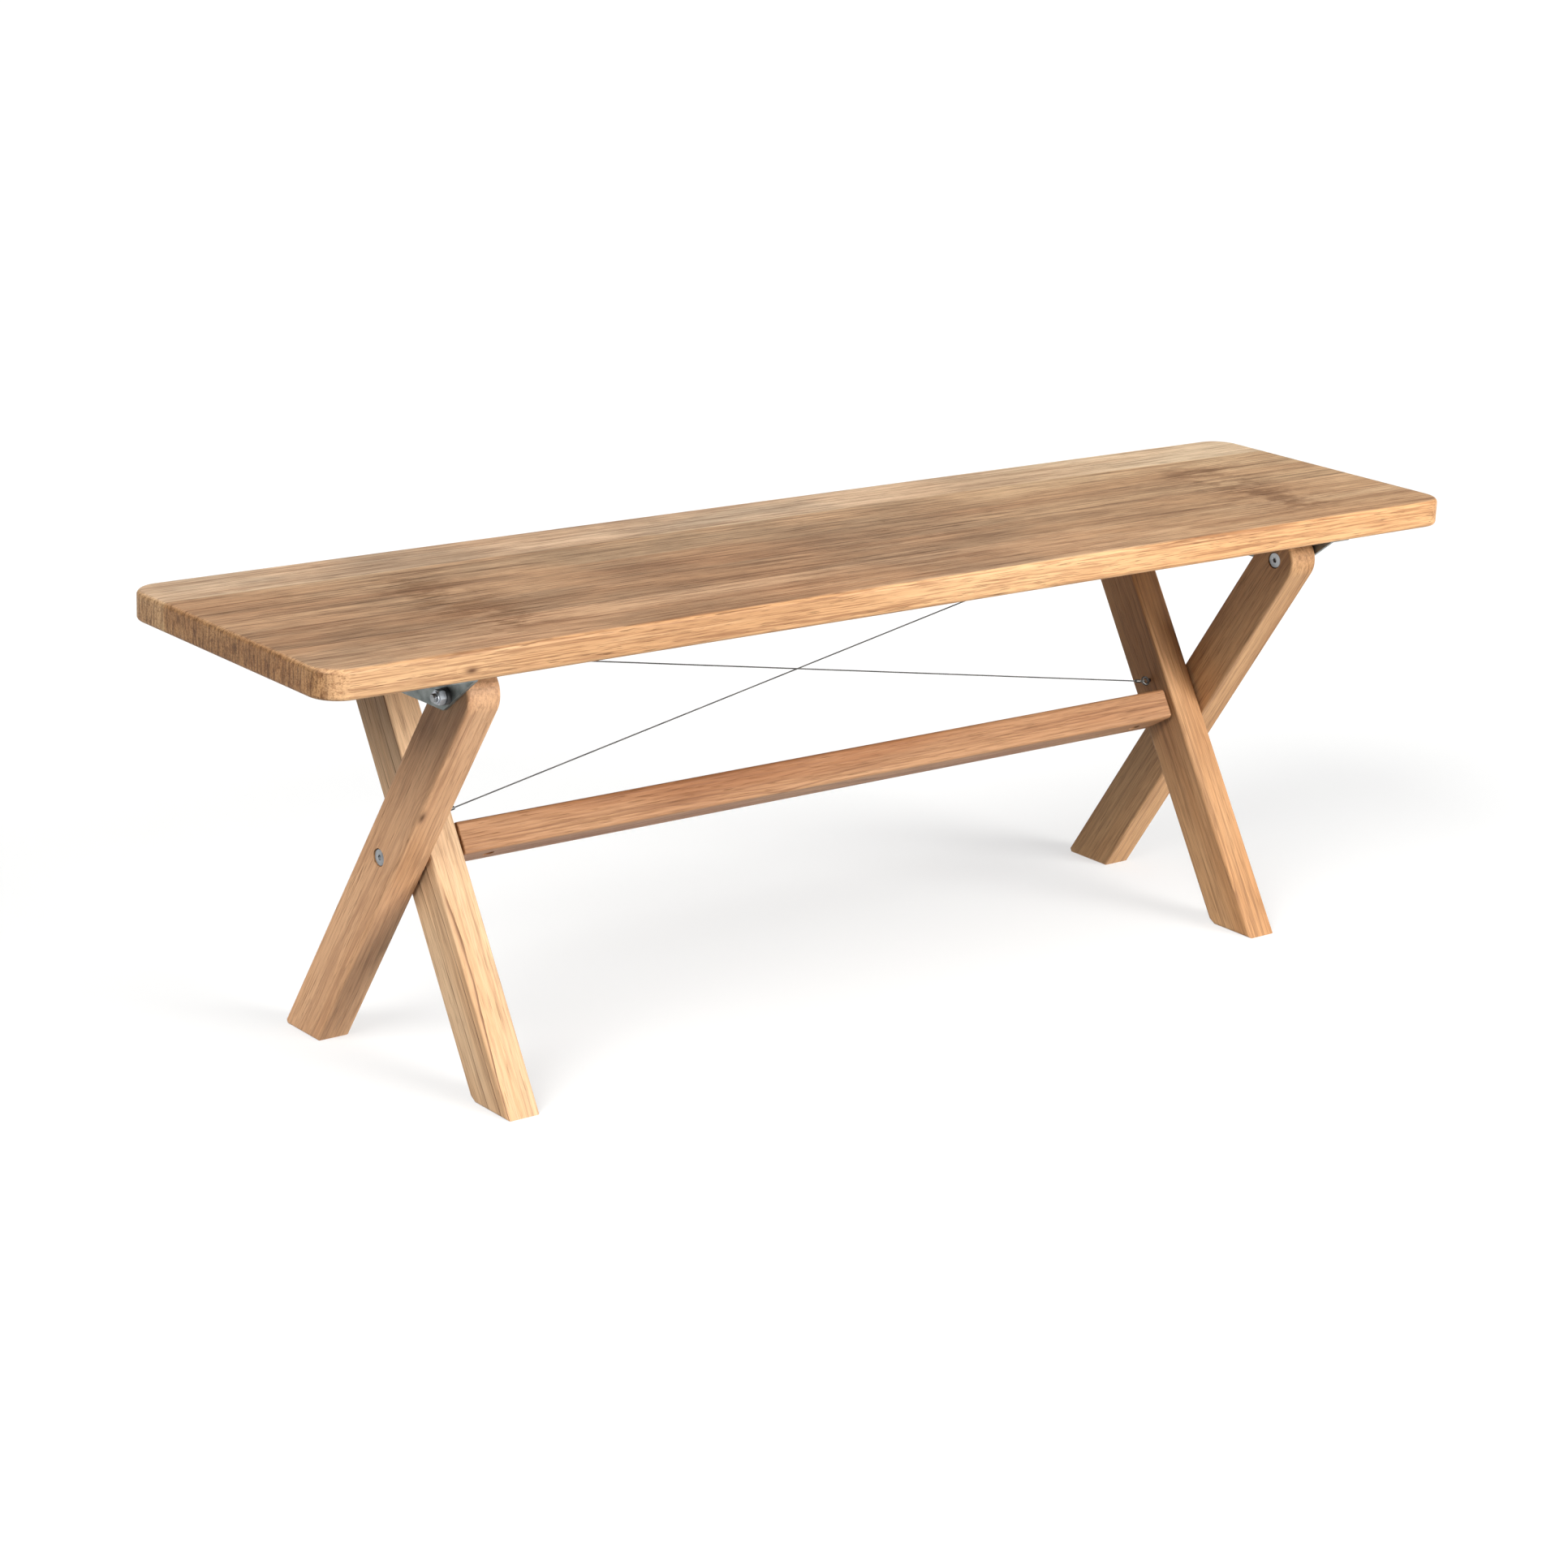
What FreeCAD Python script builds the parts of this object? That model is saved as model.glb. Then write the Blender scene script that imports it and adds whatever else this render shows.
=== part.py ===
"""Folding teak trestle at bench height: a glued plank top on two crossed pairs of legs.

Frame: millimetres, origin on the floor under the middle of the top, +X along the top,
+Y to the back, +Z up.  The outer legs hang on bolts in two steel angle brackets at the
front and run down to the back.  The inner legs cross them, are joined by a stretcher on
the line of the pivot bolts, and are held at the back by two slotted catch brackets.
Two steel wires brace the inner legs corner to corner.
"""
import math
import os

import FreeCAD
import Part

V = FreeCAD.Vector

# ---- driving dimensions: the top ----
TOP_LENGTH = 1400.0
TOP_WIDTH = 350.0
TOP_HEIGHT = 458.0
TOP_THICK = 28.5
PLAN_CORNER_R = 30.0
UPPER_ROUND = 5.0
LOWER_ROUND = 4.0
STAVE_WIDTHS = [83.0, 64.0, 66.0, 67.0, 70.0]      # front to back
UNDERSIDE = TOP_HEIGHT - TOP_THICK

# ---- driving dimensions: the crossed legs ----
PIVOT_Z = 216.5
OUTER_FACE_X = 534.5
LEG_THICK = 36.0
LEG_WIDTH = 52.0
LEG_GAP = 2.5
LEG_ROUND = 3.0
OUTER_TILT = -32.6                                  # degrees from upright, + leans back going up
INNER_TILT = 31.5
HINGE_ALONG = 220.0                                 # pivot to hinge bolt, along the outer leg
CATCH_ALONG = 235.0                                 # pivot to catch bolt, along the inner leg
INNER_TOP_GAP = 1.0
INNER_NOSE_R = 18.0
HEEL_CLIP = 5.0

# ---- driving dimensions: the stretcher ----
STRETCHER_LENGTH = 912.0
STRETCHER_ALONG = 32.0
STRETCHER_ACROSS = 44.0
STRETCHER_ROUND = 4.0
BARREL_X = 418.0
BARREL_R = 6.0
BARREL_LENGTH = 22.0
DOWEL_R = 4.0
DOWEL_LENGTH = 36.0
DOWEL_ACROSS = 14.0
DOWEL_CHAMFER = 0.8
BARREL_SLOT_WIDTH = 1.4
BARREL_SLOT_DEPTH = 1.6

# ---- driving dimensions: bolts, nuts and washers (M8) ----
BOLT_R = 4.0
RUNNING = 0.05                                      # radial clearance of a bolt in its hole
END_PLAY = 0.1
HEAD_R = 8.2
HEAD_THICK = 2.6
HEAD_SINK = 0.9                                     # head face below the wood
RECESS_R = 8.8
SOCKET_ACROSS = 5.0
SOCKET_DEPTH = 2.2
NUT_ACROSS = 13.0
NUT_THICK = 6.8
COLLAR_THICK = 1.4                                  # round collar that holds the locking insert
COLLAR_R = 5.6
BOLT_TAIL = 3.2
THREAD_PITCH = 1.25
THREAD_DEPTH = 0.6
WASHER_R = 8.0
WASHER_THICK = 1.6
HINGE_WASHER_THICK = 4.2                            # black nylon, under the hinge nut
PIVOT_WASHER_R = 12.0
SLEEVE_R = 8.0
PIVOT_BOLT_END_X = 408.0
BOLT_BORE_SPARE = 4.0                               # empty bore beyond a pivot bolt's tip
HEAD_ROUND = 0.8
TIP_CHAMFER = 0.7
NUT_CHAMFER = 0.8
WASHER_PLAY = 0.05

# ---- driving dimensions: brackets ----
HINGE_PLATE = 4.0
HINGE_GAP = 1.25                                    # leg face to the plate beside it
CATCH_PLATE = 2.5
CATCH_GAP = 0.9
FLANGE_WIDTH = 30.0
HINGE_FRONT_Y = 162.0                               # distances of the brackets' pointed ends from the middle
CATCH_BACK_Y = 168.0
HINGE_BACK_Y = 28.0
HINGE_PLATE_BOTTOM = 387.0
HINGE_NOSE_Y = 113.0
CATCH_PLATE_BOTTOM = 407.0
CATCH_INNER_Y = 111.5
CATCH_NOSE_Y = 138.0
SLOT_HALF = 4.8
SLOT_DROP = 0.35                                    # slot's middle below the bolt, for its swing out
SLOT_REACH = 60.0                                   # past the bracket's pointed end
BEND_INNER_R = 1.0
FLANGE_CORNER_R = 4.0
HINGE_SCREW_Y = [-146.0, -96.0, -46.0]
CATCH_SCREW_Y = [124.0, 156.0]
SCREW_R = 2.2
SCREW_HEAD_R = 4.4
SCREW_LENGTH = 22.0
SCREW_POINT = 4.0
SCREW_TIP_R = 0.3
SCREW_FROM_PLATE = 18.0
CROSS_LENGTH = 4.2
CROSS_WIDTH = 1.0
CROSS_DEPTH = 1.3

# ---- driving dimensions: wire brace ----
WIRE_R = 0.75
EYE_RING_R = 4.0
EYE_WIRE_R = 1.3
EYE_NECK = 1.5
EYE_SHANK_R = 1.8
EYE_SHANK_LENGTH = 18.0
LOWER_EYE_ALONG = 32.0
UPPER_EYE_ALONG = 188.0
BRACE_OFFSET = 1.3                                  # each wire's plane from the leg's middle
LOOP_R = 2.2
LOOP_LENGTH = 7.0
FERRULE_R = 1.9
FERRULE_LENGTH = 6.0
FERRULE_ROUND = 0.4

# ---- values that follow ----
OUTER_INNER_X = OUTER_FACE_X - LEG_THICK
INNER_OUTER_X = OUTER_INNER_X - LEG_GAP
INNER_INNER_X = INNER_OUTER_X - LEG_THICK
STRETCHER_END_X = STRETCHER_LENGTH / 2
HINGE_PLATE_X = OUTER_FACE_X + HINGE_GAP            # face of the hinge plate beside the leg
CATCH_PLATE_X = INNER_INNER_X - CATCH_GAP           # face of the catch plate beside the leg


def leg_point(tilt, along, across):
    """Y and Z of a point given along a leg from the pivot and across it (+ to the back)."""
    t = math.radians(tilt)
    y = along * math.sin(t) + across * math.cos(t)
    z = PIVOT_Z + along * math.cos(t) - across * math.sin(t)
    return y, z


def along_at_height(tilt, across, height):
    """Distance along a leg from the pivot at which its line 'across' is at 'height'."""
    t = math.radians(tilt)
    return (height - PIVOT_Z + across * math.sin(t)) / math.cos(t)


def vec(x, yz):
    return V(x, yz[0], yz[1])


def round_bar(x0, x1, yz, radius):
    """Cylinder along X from x0 to x1."""
    low = min(x0, x1)
    return Part.makeCylinder(radius, abs(x1 - x0), vec(low, yz), V(1, 0, 0))


def washer(x0, x1, yz, radius):
    return round_bar(x0, x1, yz, radius).cut(round_bar(x0 - 1, x1 + 1, yz, BOLT_R + RUNNING))


def prism_x(points, x0, x1):
    """Closed polygon of (y, z) points, extruded from x0 to x1."""
    ring = [vec(x0, p) for p in points]
    ring.append(ring[0])
    return Part.Face(Part.makePolygon(ring)).extrude(V(x1 - x0, 0, 0))


def hexagon(yz, across_flats, x0, x1):
    r = across_flats / math.sqrt(3)
    corners = []
    for i in range(6):
        a = math.radians(60 * i)
        corners.append((yz[0] + r * math.cos(a), yz[1] + r * math.sin(a)))
    return prism_x(corners, x0, x1)


def edges_where(shape, test):
    return [e for e in shape.Edges if test(e)]


def mirrored(shape):
    return shape.mirror(V(0, 0, 0), V(1, 0, 0))


# ---- the top ----
def panel():
    """The whole plank top with its rounded plan corners and rounded rims."""
    block = Part.makeBox(
        TOP_LENGTH, TOP_WIDTH, TOP_THICK, V(-TOP_LENGTH / 2, -TOP_WIDTH / 2, UNDERSIDE)
    )
    uprights = edges_where(block, lambda e: abs(e.BoundBox.ZLength - TOP_THICK) < 0.01)
    block = block.makeFillet(PLAN_CORNER_R, uprights)
    upper = edges_where(block, lambda e: e.BoundBox.ZMin > TOP_HEIGHT - 0.01)
    block = block.makeFillet(UPPER_ROUND, upper)
    lower = edges_where(block, lambda e: e.BoundBox.ZMax < UNDERSIDE + 0.01)
    return block.makeFillet(LOWER_ROUND, lower)


def staves(holes):
    """The glued staves that the panel is cut into, with the screws' pilot holes."""
    whole = panel().cut(Part.makeCompound(holes))
    out = []
    y = -TOP_WIDTH / 2
    for width in STAVE_WIDTHS:
        slab = Part.makeBox(TOP_LENGTH + 2, width, TOP_THICK + 2, V(-TOP_LENGTH / 2 - 1, y, UNDERSIDE - 1))
        out.append(whole.common(slab))
        y += width
    return out


# ---- legs ----
def leg_blank(outline, x0):
    """Extrude a closed leg outline over the leg's thickness and round its long edges."""
    solid = Part.Face(outline).extrude(V(LEG_THICK, 0, 0))
    x1 = x0 + LEG_THICK

    def on_side(edge):
        box = edge.BoundBox
        return box.XLength < 0.01 and (abs(box.XMin - x0) < 0.01 or abs(box.XMin - x1) < 0.01)

    return solid.makeFillet(LEG_ROUND, edges_where(solid, on_side))


def foot_points(tilt, heel_side):
    """Foot corners at the floor, from the heel's clip round to the toe; heel_side is +1 or -1."""
    half = LEG_WIDTH / 2
    heel = along_at_height(tilt, heel_side * half, 0.0)
    toe = along_at_height(tilt, -heel_side * half, 0.0)
    clip_up = leg_point(tilt, heel + HEEL_CLIP, heel_side * half)
    corner = leg_point(tilt, heel, heel_side * half)
    inward = 1 if leg_point(tilt, toe, -heel_side * half)[0] > corner[0] else -1
    clip_in = (corner[0] + inward * HEEL_CLIP, 0.0)
    return clip_up, clip_in, leg_point(tilt, toe, -heel_side * half)


def outer_leg():
    """Outer leg at +X: half-round head about the hinge bolt, foot cut level at the back."""
    half = LEG_WIDTH / 2
    x0 = OUTER_INNER_X
    clip_up, clip_in, toe = foot_points(OUTER_TILT, 1)
    back_top = leg_point(OUTER_TILT, HINGE_ALONG, half)
    crown = leg_point(OUTER_TILT, HINGE_ALONG + half, 0.0)
    front_top = leg_point(OUTER_TILT, HINGE_ALONG, -half)
    outline = Part.Wire([
        Part.makeLine(vec(x0, toe), vec(x0, front_top)),
        Part.Arc(vec(x0, front_top), vec(x0, crown), vec(x0, back_top)).toShape(),
        Part.makeLine(vec(x0, back_top), vec(x0, clip_up)),
        Part.makeLine(vec(x0, clip_up), vec(x0, clip_in)),
        Part.makeLine(vec(x0, clip_in), vec(x0, toe)),
    ])
    leg = leg_blank(outline, x0)
    pivot = leg_point(OUTER_TILT, 0.0, 0.0)
    hinge = leg_point(OUTER_TILT, HINGE_ALONG, 0.0)
    recess = HEAD_SINK + HEAD_THICK + END_PLAY
    holes = [
        round_bar(x0 - 1, OUTER_FACE_X + 1, pivot, BOLT_R + RUNNING),
        round_bar(x0 - 1, OUTER_FACE_X + 1, hinge, BOLT_R + RUNNING),
        round_bar(OUTER_FACE_X - recess, OUTER_FACE_X + 1, pivot, RECESS_R),
        round_bar(x0 - 1, x0 + recess, hinge, RECESS_R),
    ]
    return leg.cut(Part.makeCompound(holes))


def inner_leg(eyes):
    """Inner leg at +X: head cut level under the top with a rounded nose, foot level at the front."""
    half = LEG_WIDTH / 2
    x0 = INNER_INNER_X
    level = UNDERSIDE - INNER_TOP_GAP
    clip_up, clip_in, toe = foot_points(INNER_TILT, 1)
    back_top = leg_point(INNER_TILT, along_at_height(INNER_TILT, half, level), half)
    front_top = leg_point(INNER_TILT, along_at_height(INNER_TILT, -half, level), -half)
    outline = Part.makePolygon([vec(x0, p) for p in (toe, front_top, back_top, clip_up, clip_in, toe)])
    blank = Part.Face(outline).extrude(V(LEG_THICK, 0, 0))
    nose = edges_where(
        blank,
        lambda e: e.BoundBox.XLength > LEG_THICK - 0.01
        and abs(e.BoundBox.YMin - front_top[0]) < 0.01
        and abs(e.BoundBox.ZMin - front_top[1]) < 0.01,
    )
    blank = blank.makeFillet(INNER_NOSE_R, nose)
    sides = edges_where(blank, lambda e: e.BoundBox.XLength < 0.01)
    leg = blank.makeFillet(LEG_ROUND, sides)
    pivot = leg_point(INNER_TILT, 0.0, 0.0)
    catch = leg_point(INNER_TILT, CATCH_ALONG, 0.0)
    dowel = leg_point(INNER_TILT, 0.0, DOWEL_ACROSS)
    recess = HEAD_SINK + HEAD_THICK + END_PLAY
    holes = [
        round_bar(x0 - 1, INNER_OUTER_X + 1, pivot, BOLT_R + RUNNING),
        round_bar(x0 - 1, INNER_OUTER_X + 1, catch, BOLT_R + RUNNING),
        round_bar(INNER_OUTER_X - recess, INNER_OUTER_X + 1, catch, RECESS_R),
        round_bar(x0 - 1, x0 + (DOWEL_LENGTH - (x0 - STRETCHER_END_X)) / 2, dowel, DOWEL_R),
    ]
    return leg.cut(Part.makeCompound(holes)).cut(Part.makeCompound(eyes))


# ---- stretcher ----
def along_box(x0, x1, along, across, radius):
    """Bar along X whose section follows the inner legs' tilt, with rounded edges."""
    half_along = along / 2
    half_across = across / 2
    corners = [
        leg_point(INNER_TILT, half_along, -half_across),
        leg_point(INNER_TILT, half_along, half_across),
        leg_point(INNER_TILT, -half_along, half_across),
        leg_point(INNER_TILT, -half_along, -half_across),
    ]
    bar = prism_x(corners, x0, x1)
    long_edges = edges_where(bar, lambda e: e.BoundBox.XLength > abs(x1 - x0) - 0.01)
    bar = bar.makeFillet(radius, long_edges)
    ends = edges_where(bar, lambda e: e.BoundBox.XLength < 0.01)
    return bar.makeFillet(radius / 2, ends)


def up_inner_leg():
    """Unit vector up the inner legs."""
    t = math.radians(INNER_TILT)
    return V(0, math.sin(t), math.cos(t))


def across_inner_leg():
    """Unit vector across the inner legs, to the back."""
    t = math.radians(INNER_TILT)
    return V(0, math.cos(t), -math.sin(t))


def stretcher():
    bar = along_box(-STRETCHER_END_X, STRETCHER_END_X, STRETCHER_ALONG, STRETCHER_ACROSS, STRETCHER_ROUND)
    pivot = leg_point(INNER_TILT, 0.0, 0.0)
    dowel = leg_point(INNER_TILT, 0.0, DOWEL_ACROSS)
    up = up_inner_leg()
    gap = INNER_INNER_X - STRETCHER_END_X
    dowel_depth = (DOWEL_LENGTH - gap) / 2
    holes = []
    for side in (-1, 1):
        end = side * STRETCHER_END_X
        bore_end = side * (PIVOT_BOLT_END_X - BOLT_BORE_SPARE)
        holes.append(round_bar(end + side, bore_end, pivot, BOLT_R + RUNNING))
        holes.append(round_bar(end + side, end - side * dowel_depth, dowel, DOWEL_R))
        mouth = vec(side * BARREL_X, pivot) - up * (STRETCHER_ALONG / 2 + 1)
        holes.append(Part.makeCylinder(BARREL_R, STRETCHER_ALONG / 2 + 1 + BARREL_LENGTH / 2, mouth, up))
    return bar.cut(Part.makeCompound(holes))


def barrel_nut():
    """Cross dowel with the bolt's thread hole through it and a screwdriver slot at its mouth."""
    up = up_inner_leg()
    centre = vec(BARREL_X, leg_point(INNER_TILT, 0.0, 0.0))
    base = centre - up * (BARREL_LENGTH / 2)
    nut = Part.makeCylinder(BARREL_R, BARREL_LENGTH, base, up)
    corner = V(-BARREL_R - 1, -BARREL_SLOT_WIDTH / 2, 0)
    slot = Part.makeBox(2 * BARREL_R + 2, BARREL_SLOT_WIDTH, BARREL_SLOT_DEPTH, corner)
    slot.rotate(V(0, 0, 0), V(1, 0, 0), -INNER_TILT)
    slot.translate(base)
    hole = round_bar(BARREL_X - BARREL_R - 1, BARREL_X + BARREL_R + 1, (centre.y, centre.z), BOLT_R)
    return nut.cut(slot).cut(hole)


def stretcher_dowel():
    start = INNER_INNER_X + (DOWEL_LENGTH - (INNER_INNER_X - STRETCHER_END_X)) / 2
    bar = round_bar(start - DOWEL_LENGTH, start, leg_point(INNER_TILT, 0.0, DOWEL_ACROSS), DOWEL_R)
    return bar.makeChamfer(DOWEL_CHAMFER, edges_where(bar, lambda e: e.BoundBox.XLength < 0.01))


# ---- bolts and nuts ----
def thread_grooves(tip, direction, length, yz):
    """Rings that stand for the thread's grooves over the last stretch of a bolt."""
    rings = []
    count = int(length / THREAD_PITCH)
    for i in range(count):
        x = tip - direction * (THREAD_PITCH * (i + 0.75))
        profile = [
            V(x - 0.5, yz[0], yz[1] + BOLT_R + 0.1),
            V(x, yz[0], yz[1] + BOLT_R - THREAD_DEPTH),
            V(x + 0.5, yz[0], yz[1] + BOLT_R + 0.1),
        ]
        face = Part.Face(Part.makePolygon(profile + [profile[0]]))
        rings.append(face.revolve(vec(0, yz), V(1, 0, 0), 360))
    return rings


def socket_bolt(head_x, tip_x, yz, threaded):
    """Flat-headed bolt along X: head face at head_x, tip at tip_x, 'threaded' mm of thread."""
    run = 1 if tip_x > head_x else -1
    seat = head_x + run * HEAD_THICK
    head = round_bar(head_x, seat, yz, HEAD_R)
    rim = edges_where(head, lambda e: e.BoundBox.XLength < 0.01 and abs(e.BoundBox.XMin - head_x) < 0.01)
    head = head.makeFillet(HEAD_ROUND, rim)
    shank = round_bar(head_x + run * HEAD_THICK / 2, tip_x, yz, BOLT_R)
    tip = edges_where(shank, lambda e: e.BoundBox.XLength < 0.01 and abs(e.BoundBox.XMin - tip_x) < 0.01)
    shank = shank.makeChamfer(TIP_CHAMFER, tip)
    bolt = head.fuse(shank)
    bolt = bolt.cut(hexagon(yz, SOCKET_ACROSS, head_x - run, head_x + run * SOCKET_DEPTH))
    grooves = thread_grooves(tip_x, run, threaded, yz)
    if grooves:
        bolt = bolt.cut(Part.makeCompound(grooves))
    return bolt


def lock_nut(seat_x, run, yz):
    """Hexagon nut with chamfered corners and a round locking collar, seated at seat_x."""
    body = hexagon(yz, NUT_ACROSS, seat_x, seat_x + run * NUT_THICK)
    corner_r = NUT_ACROSS / math.sqrt(3)
    low = min(seat_x, seat_x + run * NUT_THICK)
    turned = Part.makeCylinder(corner_r, NUT_THICK, vec(low, yz), V(1, 0, 0))
    turned = turned.makeChamfer(NUT_CHAMFER, edges_where(turned, lambda e: e.BoundBox.XLength < 0.01))
    body = body.common(turned)
    far = seat_x + run * NUT_THICK
    body = body.fuse(round_bar(far - run * 0.5, far + run * COLLAR_THICK, yz, COLLAR_R))
    return body.cut(round_bar(seat_x - run, far + run * (COLLAR_THICK + 1), yz, BOLT_R))


def bolt_stack(head_x, run, plate_near_x, plate, washer_thick, yz):
    """Bolt, outer washer and nut that grip a plate of the given thickness starting at plate_near_x."""
    plate_far = plate_near_x + run * plate
    washer_far = plate_far + run * washer_thick
    nut_far = washer_far + run * (NUT_THICK + COLLAR_THICK)
    tip = nut_far + run * BOLT_TAIL
    return {
        "bolt": socket_bolt(head_x, tip, yz, BOLT_TAIL - 0.4),
        "plate_far": plate_far,
        "washer_far": washer_far,
        "nut": lock_nut(washer_far, run, yz),
    }


# ---- brackets ----
def edges_along_y(shape, x, z):
    """The long straight edges of a bracket that run along Y at the given x and z."""
    return edges_where(
        shape,
        lambda e: e.BoundBox.YLength > FLANGE_WIDTH
        and e.BoundBox.XLength < 0.01
        and e.BoundBox.ZLength < 0.01
        and abs(e.BoundBox.XMin - x) < 0.01
        and abs(e.BoundBox.ZMin - z) < 0.01,
    )


def angle(outline, plate_x, run, thick, flange_y):
    """Angle bracket: plate with the given (y, z) outline, flange under the top away from the leg."""
    plate = prism_x(outline, plate_x, plate_x + run * thick)
    y0, y1 = flange_y
    x0 = min(plate_x, plate_x + run * FLANGE_WIDTH)
    flange = Part.makeBox(FLANGE_WIDTH, y1 - y0, thick, V(x0, y0, UNDERSIDE - thick))
    body = plate.fuse(flange).removeSplitter()
    body = body.makeFillet(BEND_INNER_R + thick, edges_along_y(body, plate_x, UNDERSIDE))
    root = edges_along_y(body, plate_x + run * thick, UNDERSIDE - thick)
    return body.makeFillet(BEND_INNER_R, root)


def flange_corners(bracket, flange_far_x):
    """Round the flange's two free corners in plan."""
    free = edges_where(
        bracket,
        lambda e: e.BoundBox.XLength < 0.01
        and e.BoundBox.YLength < 0.01
        and abs(e.BoundBox.XMin - flange_far_x) < 0.01,
    )
    return bracket.makeFillet(FLANGE_CORNER_R, free)


def hinge_bracket(yz):
    """Front angle at +X that carries an outer leg's hinge bolt."""
    outline = [
        (-HINGE_FRONT_Y, UNDERSIDE),
        (-HINGE_FRONT_Y, UNDERSIDE - HINGE_PLATE),
        (-HINGE_NOSE_Y, HINGE_PLATE_BOTTOM),
        (-HINGE_BACK_Y, HINGE_PLATE_BOTTOM),
        (-HINGE_BACK_Y, UNDERSIDE),
    ]
    body = angle(outline, HINGE_PLATE_X, 1, HINGE_PLATE, (-HINGE_FRONT_Y, -HINGE_BACK_Y))
    body = flange_corners(body, HINGE_PLATE_X + FLANGE_WIDTH)
    return body.cut(round_bar(HINGE_PLATE_X - 1, HINGE_PLATE_X + HINGE_PLATE + 1, yz, BOLT_R + RUNNING))


def catch_bracket(yz):
    """Rear angle at +X whose slot, open to the back, holds an inner leg's catch bolt."""
    outline = [
        (CATCH_INNER_Y, UNDERSIDE),
        (CATCH_INNER_Y, CATCH_PLATE_BOTTOM),
        (CATCH_NOSE_Y, CATCH_PLATE_BOTTOM),
        (CATCH_BACK_Y, UNDERSIDE - CATCH_PLATE),
        (CATCH_BACK_Y, UNDERSIDE),
    ]
    body = angle(outline, CATCH_PLATE_X, -1, CATCH_PLATE, (CATCH_INNER_Y, CATCH_BACK_Y))
    body = flange_corners(body, CATCH_PLATE_X - FLANGE_WIDTH)
    x0 = CATCH_PLATE_X - CATCH_PLATE - 1
    x1 = CATCH_PLATE_X + 1
    centre = (yz[0], yz[1] - SLOT_DROP)
    seat = round_bar(x0, x1, centre, SLOT_HALF)
    way = Part.makeBox(x1 - x0, SLOT_REACH, 2 * SLOT_HALF, V(x0, centre[0], centre[1] - SLOT_HALF))
    return body.cut(seat.fuse(way))


def wood_screw(x, y, flange):
    """Countersunk screw up through a flange of that thickness into the top, head flush."""
    low = UNDERSIDE - flange
    head = Part.makeCone(SCREW_HEAD_R, SCREW_R, SCREW_HEAD_R - SCREW_R, V(x, y, low), V(0, 0, 1))
    straight = SCREW_LENGTH - SCREW_POINT
    shank = Part.makeCylinder(SCREW_R, straight, V(x, y, low), V(0, 0, 1))
    point = Part.makeCone(SCREW_R, SCREW_TIP_R, SCREW_POINT, V(x, y, low + straight), V(0, 0, 1))
    return head.fuse([shank, point])


def screw_recess(x, y, flange):
    """Cross recess in a screw's head."""
    low = UNDERSIDE - flange - 1
    deep = CROSS_DEPTH + 1
    arm = Part.makeBox(CROSS_LENGTH, CROSS_WIDTH, deep, V(x - CROSS_LENGTH / 2, y - CROSS_WIDTH / 2, low))
    other = Part.makeBox(CROSS_WIDTH, CROSS_LENGTH, deep, V(x - CROSS_WIDTH / 2, y - CROSS_LENGTH / 2, low))
    return arm.fuse(other)


# ---- wire brace ----
def eye_centre_x():
    return INNER_INNER_X - EYE_NECK - EYE_WIRE_R - EYE_RING_R


def eye_screw(side, along, across):
    """Closed eye screw in an inner leg; side is +1 or -1."""
    yz = leg_point(INNER_TILT, along, across)
    centre = vec(side * eye_centre_x(), yz)
    ring = Part.makeTorus(EYE_RING_R, EYE_WIRE_R, centre, across_inner_leg())
    neck_x = side * (eye_centre_x() + EYE_RING_R)
    shank = round_bar(neck_x, side * (INNER_INNER_X + EYE_SHANK_LENGTH), yz, EYE_SHANK_R)
    return ring.fuse(shank)


def eye_hole(side, along, across):
    yz = leg_point(INNER_TILT, along, across)
    return round_bar(side * (INNER_INNER_X - 1), side * (INNER_INNER_X + EYE_SHANK_LENGTH), yz, EYE_SHANK_R)


def hook_point(side, along, across):
    """Middle of the eye's wire where the brace's loop pulls on it."""
    return vec(side * (eye_centre_x() - EYE_RING_R), leg_point(INNER_TILT, along, across))


def wire_run(start, end):
    way = end - start
    return Part.makeCylinder(WIRE_R, way.Length, start, way)


def loop_end(hook, inward, normal):
    """The loop round an eye: an arc and two strands that meet at the ferrule."""
    side_way = normal.cross(inward).normalize()
    meet = hook + inward * LOOP_LENGTH
    beta = math.acos(LOOP_R / LOOP_LENGTH)
    touch = []
    for s in (-1, 1):
        radial = inward * math.cos(beta) + side_way * (s * math.sin(beta))
        touch.append(hook + radial * LOOP_R)
    start_dir = (touch[1] - hook).normalize()
    disc = Part.Face(Part.Wire(Part.makeCircle(WIRE_R, touch[1], start_dir.cross(normal))))
    sweep = 360 - 2 * math.degrees(beta)
    arc = disc.revolve(hook, normal, sweep)
    return [arc, wire_run(touch[0], meet), wire_run(touch[1], meet)], meet


def brace_wire(low_side, across):
    """Wire from the lower eye on low_side to the upper eye on the other side."""
    low = hook_point(low_side, LOWER_EYE_ALONG, across)
    high = hook_point(-low_side, UPPER_EYE_ALONG, across)
    way = (high - low).normalize()
    normal = across_inner_leg().cross(way).normalize()
    low_loop, low_meet = loop_end(low, way, normal)
    high_loop, high_meet = loop_end(high, way * -1, normal)
    wire = wire_run(low_meet, high_meet).fuse(low_loop + high_loop)
    return wire, (low_meet, way), (high_meet, way * -1)


def ferrule(meet, inward, wire):
    """Crimped sleeve where a loop closes."""
    start = meet - inward * (FERRULE_LENGTH / 2)
    sleeve = Part.makeCylinder(FERRULE_R, FERRULE_LENGTH, start, inward)
    rims = [e for e in sleeve.Edges if e.Curve.TypeId == "Part::GeomCircle"]
    return sleeve.makeFillet(FERRULE_ROUND, rims).cut(wire)


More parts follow.
